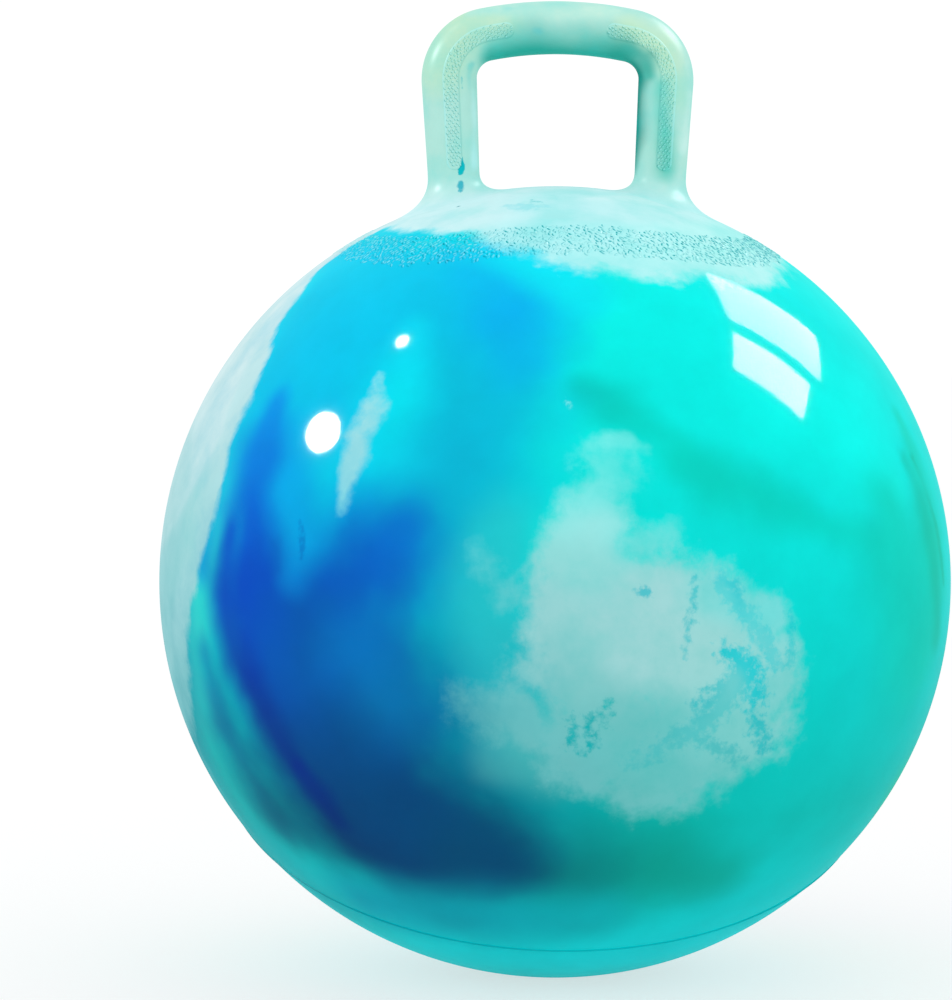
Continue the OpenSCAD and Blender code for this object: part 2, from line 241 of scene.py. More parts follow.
# A milky cloud is how soft its edge is in millimetres, how far it covers what is under it, and its
# places as above. The flecks are torn spots of paste that lie over the milk, given in the same way.
MILKY_CLOUDS = [
    (3, 1, [(-92, 62, 26, "#D2ECEF"), (-90, 45, 24, "#D6EEF0"), (-90, 35, 70, "#D8EEF0"),
        (-90, 25, 92, "#D2ECF0")]),
    (4, 0.95, [(-90, 25, 92, "#CCEAEC"), (-90, 15, 102, "#ACDEE0"), (-90, 8, 97, "#A0D8DC")]),
    (6, 0.9, [(-90, 5, 96, "#94D2D6"), (-90, -3, 80, "#84CACE"), (-90, -9, 50, "#6CC0C8")]),
    (5, 0.45, [(-80, -14, 4, "#70C8D0"), (-81, -25, 4, "#60C4CC"), (-77, -38, 4, "#50C4CC")]),
    (5, 1, [(0, 90, 106, "#CDF2F5"), (0, 89, 106, "#CDF2F5")]),
    (4, 1, [(-58, 0, 10, 42, "#CDF2F4"), (-58, 0, 90, 60, "#B6E8DC"), (58, 0, 90, 60, "#B6E8DC"),
        (58, 0, 10, 42, "#CDF2F5")]),
    (8, 0.95, [(7, 72, 61, "#B0F0F4"), (14, 71, 71, "#B8F4F6"), (29, 70, 71, "#BCF6F6"),
        (48, 68, 66, "#BCF6F4"), (70, 66, 44, "#B4F4F2")]),
    (4, 0.9, [(-35.5, 33, 2.5, "#A0E8EE"), (-34.5, 28, 8, "#A8E4E8"), (-35.5, 23, 8.5, "#A0DEE4"),
        (-36, 18.5, 5.5, "#98DEE6"), (-36.5, 14, 2.5, "#80DCE8")]),
    (3, 0.7, [(0, 22.6, 3, "#70EEE8"), (3, 23.4, 6, "#8CF4F0"), (6, 23.2, 6, "#84F2EE"),
        (8.5, 22.4, 3, "#60ECE4")]),
    (4, 1, [(14, 76, 18, "#E4FCFE"), (50, 75.5, 22, "#F0FFFF")]),
    (11, 0.5, [(4, 20, 12, "#80F0EC"), (1, 16, 12, "#90EEEC")]),
    (9, 0.9, [(1.5, 17, 8, "#90EAE8"), (1, 13, 18, "#A4E8E6"), (0, 7, 25, "#98DCDA"),
        (-1, 2, 28, "#9CD8D8")]),
    (6, 0.6, [(5, 9, 10, "#88E6E4"), (11, 11.5, 5, "#78E6E2")]),
    (6, 0.45, [(-16, 10, 3, "#70D8DC"), (-14, 7, 5, "#78D8DC"), (-11, 3, 5, "#70D0D4")]),
    (9, 1, [(-2, -1, 28, "#9CD6D6"), (7, -2, 41, "#A4DADA"), (16, -5, 40, "#9CDAD8"),
        (23, -8, 30, "#8CDAD8")]),
    # These run the cloud greyer and darker towards its lower part, partly painted shade.
    (12, 0.85, [(-2, -6, 26, "#90CECE"), (1, -13, 30, "#80C6C6"), (8, -18, 28, "#74C2C2")]),
    (10, 0.6, [(-17, -11.5, 7, "#68BCC0"), (-9, -13.5, 14, "#78C6C8")]),
    (7, 0.7, [(16, 1, 23, "#98DEDE"), (24, 0, 14, "#80E0E0")]),
    (12, 0.75, [(21, -15, 33, "#90D4D2"), (10, -19, 35, "#80CCCC"), (0, -18, 24, "#74C4C6")]),
    (8, 0.9, [(168, 14, 24, "#B8E8E4"), (186, 4, 44, "#B4E2DE"), (202, -12, 40, "#9CD6D4"),
        (214, -26, 24, "#84CCCC")]),
    (8, 0.9, [(-110, 14, 50, "#C6E6E4"), (-116, -8, 36, "#A8DADA"), (-122, -28, 20, "#84CCCC")]),
]
FLECKS = [
    (4, 0.5, [(18, 4, 6, "#14D4DA"), (22, 0, 5, "#14D0D6"), (26, -6, 5, "#18CCD2")]),
    (4, 0.45, [(20, -9, 8, "#1CC8CC"), (16, -15, 7, "#20C2C6"), (6, -20, 4, "#24BEC2")]),
    (2, 0.8, [(17, 5, 1.4, "#0CD0D8"), (20, 4, 3.4, "#0CCCD6"), (21, 0, 1.4, "#10CCD6")]),
    (6, 0.95, [(18.5, -5, 4, "#06CCD4"), (22, -7.5, 8.5, "#04D0D8"), (23.5, -10.5, 6, "#06CCD4")]),
    (5, 0.85, [(18, -10, 3.5, "#0CC4CA"), (15.5, -13, 6, "#0CBEC6"), (15, -15, 3.5, "#10BEC4")]),
    (5, 0.8, [(23.5, -13, 3.5, "#0CC4CA"), (26.5, -17.5, 5, "#0CBEC4")]),
    (4, 0.6, [(10.5, -17, 2.5, "#28B8BC"), (16, -17.5, 3.5, "#24BCC0"), (23, -20, 3, "#1CBCC0")]),
    (2, 0.7, [(28, 1, 1.4, "#0CD0D4"), (28.5, -6, 2.6, "#0CCCD0")]),
    (1.6, 0.7, [(13.8, 5, 1.8, "#28C8D0"), (13.2, 0, 2.4, "#20C0C8"), (12.6, -6, 1.6, "#30C4CC")]),
    (1.4, 0.8, [(6, 3, 1.8, "#28C0CC"), (7.5, 3.2, 2.6, "#28C0CC")]),
    (1, 0.5, [(2.5, -8, 0.8, "#30B4BC"), (2, -17, 1, "#2CB0B8")]),
    (3, 0.9, [(-3.2, -13.5, 2.8, "#08B4B8"), (-3, -16.5, 3.6, "#08B0B4")]),
    (3, 0.95, [(-0.5, -13.5, 3.4, "#08B0B4"), (-0.3, -17.5, 4.4, "#08B0B4")]),
    (3, 0.9, [(1.8, -12, 2.8, "#0CB8B8"), (1.4, -15.5, 3.4, "#08B0B4")]),
    (1.2, 0.5, [(-43.5, 12.5, 1.6, "#0270CC"), (-43, 9.5, 2.8, "#0264C0"), (-42.5, 7, 1.6, "#0264C0")]),
    (1.2, 0.7, [(-2.6, 30, 1, "#90F0F2"), (-2.4, 28.8, 2, "#A0F2F4"), (-1.5, 26.5, 0.4, "#80ECEC")]),
    (1.6, 0.8, [(-18, 73.6, 1.6, "#24CCD0"), (-15, 74, 3, "#1CC4CC"), (-11, 73.6, 1.2, "#24CCD0")]),
    (2, 0.3, [(-26, 72, 3, "#50D8E4"), (-18, 71, 6, "#50D8E4"), (-8, 72, 3, "#60DCE8")]),
    (0.5, 0.9, [(-54, 71.4, 1.2, "#1090A4"), (-52.6, 71.7, 1.4, "#1090A4")]),
    (0.3, 0.9, [(-56.7, -15, 61, 0.6, "#48C4C8"), (-56.5, -15, 53, 1, "#48C4C8")]),
    (0.4, 0.7, [(-52.8, -14, 64, 1.2, "#50CED4"), (-52.4, -14, 55, 1.2, "#50CED4")]),
    (0.3, 1, [(-56.4, -15, 18, 0.9, "#0CC0CA"), (-56.2, -15, 10.5, 3, "#08C0C8")]),
    (0.5, 0.9, [(-55.2, -17.5, 3, 2.4, "#14B4C8"), (-55, -19, -1, 2.6, "#14B4C8")]),
]
# The handle's sweeps tint the milk, from pale mint to deep green. The deep green under the bar, along its
# lower front, in the right inner corner and down the right leg's inner face is partly painted shade, the
# paler top of the bar is painted light, and the pale lines down both legs' outer sides are painted
# highlights.
HANDLE_SWEEPS = [
    (0.5, 0.3, 1, [(-62, 0, 22, 30, "#B6E8DC"), (-58, 0, 85, 40, "#B6E8DC"), (58, 0, 85, 40, "#B6E8DC"),
        (62, 0, 22, 30, "#B6E8DC")]),
    (0.9, 0.5, 0.9, [(-70, -10, 66, 12, "#C4EACC"), (-58, -12, 92, 16, "#CBEAC8"),
        (-34, -16, 93, 9, "#C8ECD0")]),
    (0.9, 0.5, 0.8, [(40, -16, 90, 8, "#C6ECCA"), (58, -16, 80, 10, "#C6ECCA"),
        (66, -16, 50, 8, "#C0EAD0")]),
    # Paler along the top of the bar, painted light.
    (0.9, 0.9, 0.6, [(-52, -10, 100, 4, "#B8ECE6"), (-20, -12, 102, 5, "#CCF0E0"),
        (30, -12, 103, 5, "#CCF4E2")]),
    # Darker teal along the bar's lower front, painted shade.
    (0.9, 0.9, 0.8, [(-36, -12, 77, 8, "#68D0C2"), (-14, -14, 83, 10, "#5CC4B8"),
        (12, -14, 83, 9, "#6CC8BA"), (38, -12, 78, 9, "#60C4B4")]),
    (0.8, 1.2, 0.6, [(-16.5, -15.5, 89, 1.8, "#58CCD0"), (-14, -15.5, 89, 2.2, "#58CCD0")]),
    (0.8, 1.2, 0.5, [(-33, -10, 103, 2.2, "#78D8DC"), (-26, -10, 104, 1.8, "#80DCDE")]),
    # Dark teal under the bar, partly painted shade.
    (0.7, 0.3, 0.9, [(-40, -4, 76, 9, "#16AC9C"), (0, -4, 76.5, 9, "#16AC9C"), (36, -4, 75, 12, "#10A494"),
        (48, -3, 62, 10, "#10A292")]),
    # Dark teal down the right leg's inner face, partly painted shade.
    (0.7, 0.3, 1, [(45.5, 0, 60, 10.5, "#088E82"), (44.5, 0, 30, 10, "#088C82"),
        (43.5, 0, 13, 7, "#189C92")]),
    # Darker teal in the right inner corner, painted shade.
    (0.8, 0.5, 0.9, [(40, -10, 81, 5, "#40B4A8"), (50, -12, 75, 6, "#38B0A2"),
        (52, -12, 62, 4, "#50BCAC")]),
    # A pale line down the right leg's outer edge, a painted highlight.
    (0.8, 0.5, 0.9, [(70, -8, 70, 3, "#D8F8F2"), (71.2, -8, 52, 3.4, "#E0FCF6"),
        (69, -8, 22, 4, "#E0FCF8")]),
    (0.9, 0.8, 0.8, [(58, -15, 56, 4.5, "#64D2C2"), (59.5, -15, 30, 5.5, "#50CCBA"),
        (61, -15, 12, 6, "#3CC4B2")]),
    (0.8, 0.5, 0.8, [(-47.5, -10, 50, 2.8, "#C6F6F4"), (-47, -10, 14, 3.6, "#C8F8F8")]),
    # A pale band down the left leg's outer side, a painted reflection.
    (0.8, 0.5, 0.8, [(-68, -8, 70, 2.2, "#CCF6EC"), (-70, -8, 44, 2.4, "#C8F4EC")]),
    (0.8, 0.9, 0.6, [(-51.5, -13, 66, 2, "#78D6D0"), (-50, -13, 40, 1.4, "#78D8D8")]),
]
MM = 0.001
COLOUR_FALL = 6
DISTANCE_FALL = 14
REACH_LIMIT = 40
CLOUD_FALL = 1.2
CLOUD_LIMIT = 4
DEPTH_LIMIT = 9.0
WAVER_CELLS = 32
OCTAVE_SHIFT = 9.7
WARP = 0.0035
WARP_SIZE = 0.055
RAGGED = 0.35
RAGGED_SIZE = 0.030


def linear(code):
    """The linear colour of a hex code: ((c + 0.055) / 1.055) to the power 2.4 above 0.04045."""
    levels = np.array([int(code[i:i + 2], 16) / 255 for i in (1, 3, 5)])
    return np.where(levels <= 0.04045, levels / 12.92, ((levels + 0.055) / 1.055) ** 2.4)


def waver(places, size, octaves, seed):
    """Smooth noise, mostly within 1 of zero. The places fall in cubes of the given size, whose corners
    carry random levels, blended by the eased share along each side. Each octave halves both."""
    levels = np.random.RandomState(seed).uniform(-1, 1, 3 * [WAVER_CELLS])
    total = np.zeros(len(places))
    for octave in range(octaves):
        cell = places * 2 ** octave / size + OCTAVE_SHIFT * octave
        low = np.floor(cell).astype(int)
        share = eased_step(0, 1, cell - low)
        for corner in np.ndindex(2, 2, 2):
            weight = np.prod(np.where(corner, share, 1 - share), axis=1)
            total += weight * levels[tuple(((low + corner) % WAVER_CELLS).T)] / 2 ** octave
    return total


def eased_step(low, high, value):
    """Nothing below low, all above high, and 3 t t - 2 t t t between them."""
    t = np.clip((value - low) / (high - low), 0, 1)
    return t * t * (3 - 2 * t)


def stop_place(stop):
    """A stop's point from the ball's middle, by degrees round and above or by its place from the top."""
    if len(stop) == 5:
        return MM * np.array(stop[:3]) + [0, 0, BALL_R]
    return BALL_R * towards(*stop[:2])


def along_sweep(places, stops):
    """Distance from a sweep in half widths, its half width in millimetres and its colour. With t the
    share along a streak, held within 0 and 1, the distance is the length of place - from - t (to -
    from), over the half width at t. The colours of a sweep's streaks are blended by weights that fall
    by e for each sixth of a half width, and so is the distance, but over a fourteenth."""
    nearest, total, widths, colours = 0, 0, 0, 0
    for first, last in zip(stops, stops[1:]):
        start, run = stop_place(first), stop_place(last) - stop_place(first)
        share = np.clip((places - start) @ run / (run @ run), 0, 1)
        half = first[-2] + (last[-2] - first[-2]) * share
        reach = np.linalg.norm(places - start - share[:, None] * run, axis=1) / (MM * half)
        reach = np.minimum(reach, REACH_LIMIT)
        nearest = nearest + np.exp(-DISTANCE_FALL * reach)
        weight = np.exp(-COLOUR_FALL * reach)
        total = total + weight
        widths = widths + weight * half
        near, far = linear(first[-1]), linear(last[-1])
        colours = colours + weight[:, None] * (near + share[:, None] * (far - near))
    return -np.log(nearest) / DISTANCE_FALL, widths / total, colours / total[:, None]


def swept(colour, places, rough, sweeps):
    """A colour with the sweeps laid over it in turn. Each covers by its strength x (1 - an eased step
    across its edge), and the noise moves the edge in and out."""
    for soft, ragged, strength, stops in sweeps:
        reach, _, paste = along_sweep(places, stops)
        edge = eased_step(1 - soft, 1 + soft, reach + RAGGED * ragged * rough)
        mask = strength * (1 - edge)[:, None]
        colour = colour * (1 - mask) + mask * paste
    return colour


def marbled(places):
    """The pastes at places from the ball's middle: the colour of the soft sweeps, then the colour,
    depth and cover of the milky clouds and of the flecks. A depth is the distance inside the edge
    over its softness, so it is zero on the edge, and clouds blend by e to the power 1.2 x depth."""
    moved = places + WARP * np.stack([waver(places, WARP_SIZE, 4, seed) for seed in (3, 4, 5)], axis=1)
    rough = waver(places, RAGGED_SIZE, 4, 6)
    rise = np.degrees(np.arcsin(np.clip(moved[:, 2] / BALL_R, -1, 1)))
    stops = sorted(AQUA_WITH_PAINTED_LIGHT_BY_RISE)
    shades = np.array([linear(AQUA_WITH_PAINTED_LIGHT_BY_RISE[stop]) for stop in stops])
    paste = np.stack([np.interp(rise, stops, shades[:, k]) for k in range(3)], axis=1)
    layers = [swept(paste, moved, rough, PASTE_SWEEPS)]
    for clouds, over in ((MILKY_CLOUDS, HANDLE_SWEEPS), (FLECKS, [])):
        best, total, tint, cover = np.full(len(places), -DEPTH_LIMIT), 1e-9, 0, 0
        for soft, full, stops in clouds:
            reach, half, colour = along_sweep(moved, stops)
            depth = np.clip((1 - reach) * half / soft, -DEPTH_LIMIT, DEPTH_LIMIT)
            share = np.exp(CLOUD_FALL * np.minimum(depth, CLOUD_LIMIT))
            best = np.maximum(best, depth)
            total, tint, cover = total + share, tint + share[:, None] * colour, cover + share * full
        layers += [swept(tint / total[:, None], moved, rough, over), best, cover / total]
    return layers


def pour(piece, vinyl, painted_light=0.0):
    """Gives a piece its vinyl, and keeps the pastes at its points in it as attributes, with its painted
    light at each point: painted shade where above zero and a painted highlight where below."""
    mesh = piece.data
    mesh.materials.append(vinyl)
    places = np.empty(3 * len(mesh.vertices))
    mesh.vertices.foreach_get("co", places)
    layers = marbled(places.reshape(-1, 3) - BALL_MIDDLE)
    paste, milk, milk_depth, milk_cover, fleck, fleck_depth, fleck_cover = layers
    for name, colour, cover in (("paste", paste, milk_cover), ("milk", milk, milk_cover),
                                ("fleck", fleck, fleck_cover)):
        kept = mesh.attributes.new(name, "FLOAT_COLOR", "POINT")
        kept.data.foreach_set("color", np.column_stack([colour, cover]).ravel())
    painted_light = np.full(len(mesh.vertices), painted_light) if np.isscalar(painted_light) else painted_light
    for name, level in (("milk_depth", milk_depth), ("fleck_depth", fleck_depth), ("painted_light", painted_light)):
        kept = mesh.attributes.new(name, "FLOAT", "POINT")
        kept.data.foreach_set("value", level)


def put(tree, kind, inputs, **settings):
    """Adds a node. Its inputs, by name or number, are another node's output or a plain value."""
    made = tree.nodes.new("ShaderNode" + kind)
    for key, value in settings.items():
        setattr(made, key, value)
    for key, value in inputs.items():
        if isinstance(value, bpy.types.NodeSocket):
            tree.links.new(value, made.inputs[key])
        else:
            made.inputs[key].default_value = value
    return made


def math_of(tree, operation, *values, clamp=False):
    return put(tree, "Math", dict(enumerate(values)), operation=operation, use_clamp=clamp).outputs[0]


def mixed(tree, share, low, high):
    return put(tree, "Mix", {0: share, 6: low, 7: high}, data_type="RGBA").outputs[2]


def noise(tree, place, scale, detail, rough=0.5):
    inputs = {"Vector": place, "Scale": scale, "Detail": detail, "Roughness": rough}
    return put(tree, "TexNoise", inputs).outputs["Fac"]


def ranged(tree, value, low, high, to_low=0.0, to_high=1.0, **settings):
    """A value between low and high, brought to between to_low and to_high."""
    inputs = {"Value": value, "From Min": low, "From Max": high, "To Min": to_low, "To Max": to_high}
    return put(tree, "MapRange", inputs, **settings).outputs[0]


def effect(name, inputs, outputs):
    """An empty node group with named sockets, given as name: kind, and its two end nodes."""
    tree = bpy.data.node_groups.new(name, "ShaderNodeTree")
    for end, sockets in (("INPUT", inputs), ("OUTPUT", outputs)):
        for key, kind in sockets.items():
            tree.interface.new_socket(name=key, in_out=end, socket_type="NodeSocket" + kind)
    return tree, tree.nodes.new("NodeGroupInput").outputs, tree.nodes.new("NodeGroupOutput").inputs


def use(tree, group, inputs):
    """Places a node group and gives its inputs."""
    return put(tree, "Group", inputs, node_tree=group).outputs


def marbled_colour():
    """The paste, with the milky clouds and then the flecks over it. Fine noise tears their edges, coarser
    noise thins the milk, and the whole is a little uneven in tone. Painted light above zero deepens the
    colour as painted shade, as on the shaded side of a grain, and below zero it pales the colour as a
    painted highlight."""
    layers = {"Place": "Vector", "Painted light": "Float", "Paste": "Color"}
    for layer in ("Milk", "Fleck"):
        layers |= {layer: "Color", layer + " depth": "Float", layer + " cover": "Float"}
    tree, given, result = effect("marbled colour", layers, {"Colour": "Color"})
    torn = noise(tree, given["Place"], scale=65, detail=8, rough=0.62)
    thin = noise(tree, given["Place"], scale=30, detail=6, rough=0.6)
    speck = noise(tree, given["Place"], scale=230, detail=4, rough=0.6)
    thick = ranged(tree, thin, 0.36, 0.58, to_low=0.78)
    colour = given["Paste"]
    for layer, full, tears in (("Milk", thick, [(torn, 3.6), (thin, 2.4)]), ("Fleck", 1.0, [(speck, 6.0)])):
        edge = given[layer + " depth"]
        for level, ragged in tears:
            edge = math_of(tree, "MULTIPLY_ADD", math_of(tree, "SUBTRACT", level, 0.5), ragged, edge)
        step = ranged(tree, edge, -1.0, 1.0, interpolation_type="SMOOTHSTEP")
        mask = math_of(tree, "MULTIPLY", math_of(tree, "MULTIPLY", step, given[layer + " cover"]), full)
        colour = mixed(tree, mask, colour, given[layer])
    tone = ranged(tree, thin, 0.3, 0.7, 0.96, 1.04)
    toned = put(tree, "HueSaturation", {"Value": tone, "Color": colour}).outputs[0]
    # Painted shade darkens the colour towards a deep teal, and a painted highlight pales it towards a light
    # cyan.
    painted_shade = math_of(tree, "MULTIPLY", given["Painted light"], 1.0, clamp=True)
    pale = math_of(tree, "MULTIPLY", given["Painted light"], -0.5, clamp=True)
    shaded_colour = put(tree, "VectorMath", {0: toned, 1: (0.0, 0.50, 0.56)}, operation="MULTIPLY").outputs[0]
    toned = mixed(tree, painted_shade, toned, shaded_colour)
    tree.links.new(mixed(tree, pale, toned, (0.42, 0.95, 0.97, 1.0)), result["Colour"])
    return tree


def moulded_finish():
    """The gloss of a moulded surface: smears where it was handled, and a faint unevenness."""
    tree, given, result = effect("moulded finish", {"Place": "Vector", "Gloss": "Float", "Dull": "Float"},
                                 {"Roughness": "Float", "Height": "Float"})
    smear = noise(tree, given["Place"], scale=7, detail=5)
    level = ranged(tree, smear, 0.35, 0.75, given["Gloss"], given["Dull"])
    tree.links.new(level, result["Roughness"])
    tree.links.new(noise(tree, given["Place"], scale=40, detail=2), result["Height"])
    return tree


def new_material(name):
    """A new material, its node tree and its shader."""
    material = bpy.data.materials.new(name)
    material.use_nodes = True
    tree = material.node_tree
    return material, tree, tree.nodes["Principled BSDF"]


def moulded(name, finish_group, gloss, dull, strength, height):
    """A new material with the moulded finish, its node tree, its shader and the place on its piece."""
    material, tree, shader = new_material(name)
    place = put(tree, "TexCoord", {}).outputs["Object"]
    finish = use(tree, finish_group, {"Place": place, "Gloss": gloss, "Dull": dull})
    bump = put(tree, "Bump", {"Strength": strength, "Distance": height, "Height": finish["Height"]})
    tree.links.new(finish["Roughness"], shader.inputs["Roughness"])
    tree.links.new(bump.outputs[0], shader.inputs["Normal"])
    return material, tree, shader, place


def give(shader, levels):
    """Sets a shader's sockets to constants."""
    for socket, level in levels.items():
        shader.inputs[socket].default_value = level


def marbled_vinyl(name, colour_group, finish_group, gloss, dull):
    """Glossy soft vinyl in the marbled colours that its piece carries."""
    material, tree, shader, place = moulded(name, finish_group, gloss, dull, strength=0.15, height=0.0004)
    kept = {key: put(tree, "Attribute", {}, attribute_name=key).outputs
            for key in ("paste", "milk", "milk_depth", "fleck", "fleck_depth", "painted_light")}
    colour = use(tree, colour_group, {
        "Place": place, "Painted light": kept["painted_light"]["Fac"], "Paste": kept["paste"]["Color"],
        "Milk": kept["milk"]["Color"], "Milk cover": kept["milk"]["Alpha"],
        "Milk depth": kept["milk_depth"]["Fac"], "Fleck": kept["fleck"]["Color"],
        "Fleck cover": kept["fleck"]["Alpha"], "Fleck depth": kept["fleck_depth"]["Fac"]})["Colour"]
    tree.links.new(colour, shader.inputs["Base Color"])
    give(shader, {"IOR": 1.5, "Specular IOR Level": 0.0, "Coat Weight": 0.09, "Coat IOR": 1.5,
                  "Coat Roughness": (gloss + dull) / 2})
    return material


colour_group = marbled_colour()
finish_group = moulded_finish()
ball_vinyl = marbled_vinyl("marbled_vinyl", colour_group, finish_group, gloss=0.045, dull=0.075)
handle_vinyl = marbled_vinyl("pale_vinyl", colour_group, finish_group, gloss=0.30, dull=0.42)
pour(ball_skin, ball_vinyl)

# The bead of the mould line
# Where the two halves of the mould met, a fine bead of vinyl stays on the skin. It runs round the
# underside, low at the front and higher at the back.
BEAD_R = 0.0006
BEAD_RINGS = 420
BEAD_SPOKES = 10
BEAD_PAINTED_SHADE = 0.55
LINE_ANGLE = math.radians(56)
LINE_TILT = math.radians(25)


def mould_bead():
    """A thin ring: a small circle carried round the tilted circle where the halves met. The pole of
    that circle leans from straight down towards the back."""
    pole = np.array([0.0, math.sin(LINE_TILT), -math.cos(LINE_TILT)])
    out = round_axis(pole, -turns(BEAD_RINGS)[:, None, None])
    ring = math.sin(LINE_ANGLE) * out + math.cos(LINE_ANGLE) * pole
    aside = np.cross(np.cross(pole, out, axis=-1), ring, axis=-1)
    v = turns(BEAD_SPOKES)[None, :, None]
    return BALL_MIDDLE + BALL_R * ring + BEAD_R * (np.cos(v) * ring + np.sin(v) * aside)


mould_line = grid_mesh("mould_line", mould_bead(), along=True)
# The bead's colour is darkened throughout with painted shade.
pour(mould_line, handle_vinyl, painted_light=BEAD_PAINTED_SHADE)
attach(mould_line, "ball")

# The handle
# The same moulding runs up into a hollow D handle: a shallow arch, two corners and two legs that
# lean in and spread into the ball in a fillet. It is blown up with the ball and is stiff enough to hold.
HANDLE_W = 0.157
HANDLE_RISE = 0.106
BAR_T = 0.0304
LEG_T = 0.0318
LEG_FOOT_T = 0.0298
GRIP_DEPTH = 0.030
ARCH_R = 0.225
CORNER_R = 0.026
LEG_LEAN = math.radians(3)
ROOT_OUT_RISE = 0.017
ROOT_IN_RISE = 0.012
ROOT_REACH_SHARE = 1.35
ROOT_STEPS = 26
TUCK_RUN = 0.0016
TUCK_DEPTHS = (0.0001, 0.0005)
GRIP_STEP = 0.0012
GRIP_SPOKES = 100
STRIP_W = 0.0094
STRIP_GAP = 0.0266
STRIP_FOOT = 0.002

ARCH_MID_R = ARCH_R - BAR_T / 2
ARCH_Z = BALL_R + HANDLE_RISE - ARCH_R
CORNER_X = (HANDLE_W - LEG_T) / 2 - CORNER_R
ARCH_END = math.asin(CORNER_X / (ARCH_MID_R - CORNER_R))
CORNER_Z = ARCH_Z + (ARCH_MID_R - CORNER_R) * math.cos(ARCH_END)
ARCH_RUN = ARCH_MID_R * ARCH_END
CORNER_RUN = CORNER_R * (math.pi / 2 + LEG_LEAN - ARCH_END)
LEG_DIR = np.array([-math.sin(LEG_LEAN), 0.0, -math.cos(LEG_LEAN)])
LEG_OUT = np.array([math.cos(LEG_LEAN), 0.0, -math.sin(LEG_LEAN)])
LEG_TOP = np.array([CORNER_X, 0.0, CORNER_Z]) + CORNER_R * LEG_OUT
BACKWARDS = np.array([0.0, 1.0, 0.0])


def unit(vectors):
    """The same directions at a length of 1."""
    return vectors / np.linalg.norm(vectors, axis=-1, keepdims=True)


def bent(first, control, last, share):
    """A curve with one control point: (1 - s)^2 first + 2 s (1 - s) control + s^2 last."""
    return (1 - share) ** 2 * first + 2 * share * (1 - share) * control + share ** 2 * last


def middle_line(run):
    """A point of the grip's middle line and its outward direction, from the ball's centre: run along
    an arch, then a corner, then a straight leg."""
    run = np.asarray(run, dtype=float)[..., None]
    angle = np.clip(run, 0, ARCH_RUN) / ARCH_MID_R + np.clip(run - ARCH_RUN, 0, CORNER_RUN) / CORNER_R
    out = np.concatenate([np.sin(angle), 0 * angle, np.cos(angle)], axis=-1)
    arch = np.array([0, 0, ARCH_Z]) + ARCH_MID_R * out
    corner = np.array([CORNER_X, 0, CORNER_Z]) + CORNER_R * out
    leg = np.maximum(run - ARCH_RUN - CORNER_RUN, 0) * LEG_DIR
    return np.where(run < ARCH_RUN, arch, corner + leg), out


def thickness(run):
    """The grip's thickness: the bar's, changing to the leg's over the corner and to the foot's below."""
    return np.interp(run, [ARCH_RUN, ARCH_RUN + CORNER_RUN, STRIP_RUN], [BAR_T, LEG_T, LEG_FOOT_T])


def round_grip(point, out, thick, angle):
    """A point of an oval section: the middle + cos a t / 2 out + sin a depth / 2 backwards."""
    return point + np.cos(angle) * thick / 2 * out + np.sin(angle) * GRIP_DEPTH / 2 * BACKWARDS


def to_ball(points):
    """How far along the leg's direction a point meets the ball's surface."""
    b = points @ LEG_DIR
    return -b - np.sqrt(b * b - np.sum(points * points, axis=-1) + BALL_R ** 2)


def root_rise(angle):
    """Height of the fillet up the leg, from the side facing out to the side facing in."""
    return ROOT_IN_RISE + (ROOT_OUT_RISE - ROOT_IN_RISE) * (1 + np.cos(angle)) / 2


def strip_end():
    """Where a grip strip ends above the fillet: the least run to the ball, less the fillet and a gap."""
    angle = turns(72)[:, None]
    sides = round_grip(LEG_TOP, LEG_OUT, LEG_FOOT_T, angle)
    return float(np.min(to_ball(sides) - root_rise(angle[:, 0]))) - STRIP_FOOT


STRIP_RUN = ARCH_RUN + CORNER_RUN + strip_end()


def root_surface(angle):
    """The fillet: from the leg's side a curve with one control point runs out and meets the ball along
    its tangent plane, and then dips just under the skin."""
    sides = round_grip(LEG_TOP, LEG_OUT, LEG_FOOT_T, angle)
    foot = sides + to_ball(sides)[:, None] * LEG_DIR
    rise = root_rise(angle)
    away = np.cos(angle) * LEG_OUT + np.sin(angle) * BACKWARDS
    spread = foot + ROOT_REACH_SHARE * rise * away
    end = BALL_R * unit(spread)
    lift = np.sum((end - foot) * end, axis=-1) / (end @ LEG_DIR)
    control = foot + lift[:, None] * LEG_DIR
    curve = bent(foot - rise * LEG_DIR, control, end, np.linspace(0, 1, ROOT_STEPS)[:, None, None])
    beyond = end + TUCK_RUN * unit(end - control)
    tucked = [(BALL_R - depth) * unit(point) for point, depth in zip((end, beyond), TUCK_DEPTHS)]
    return np.concatenate([curve[:-1], np.stack(tucked)])


def handle_surface():
    """Oval sections along half the middle line, then the fillet's rings, with the other half mirrored."""
    angle = turns(GRIP_SPOKES)[:, None]
    run = np.linspace(0, STRIP_RUN, int(STRIP_RUN / GRIP_STEP))
    point, out = middle_line(run)
    thick = thickness(run)[:, None, None]
    grip = round_grip(point[:, None, :], out[:, None, :], thick, angle[None])
    half = np.concatenate([grip, root_surface(angle)])
    mirrored = half[1:] * np.array([-1.0, 1.0, 1.0])
    return np.concatenate([half[::-1], mirrored]) + BALL_MIDDLE


handle = grid_mesh("handle_grip", handle_surface(), first_pole=True, last_pole=True)
pour(handle, handle_vinyl)
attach(handle, "ball")
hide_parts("handle")

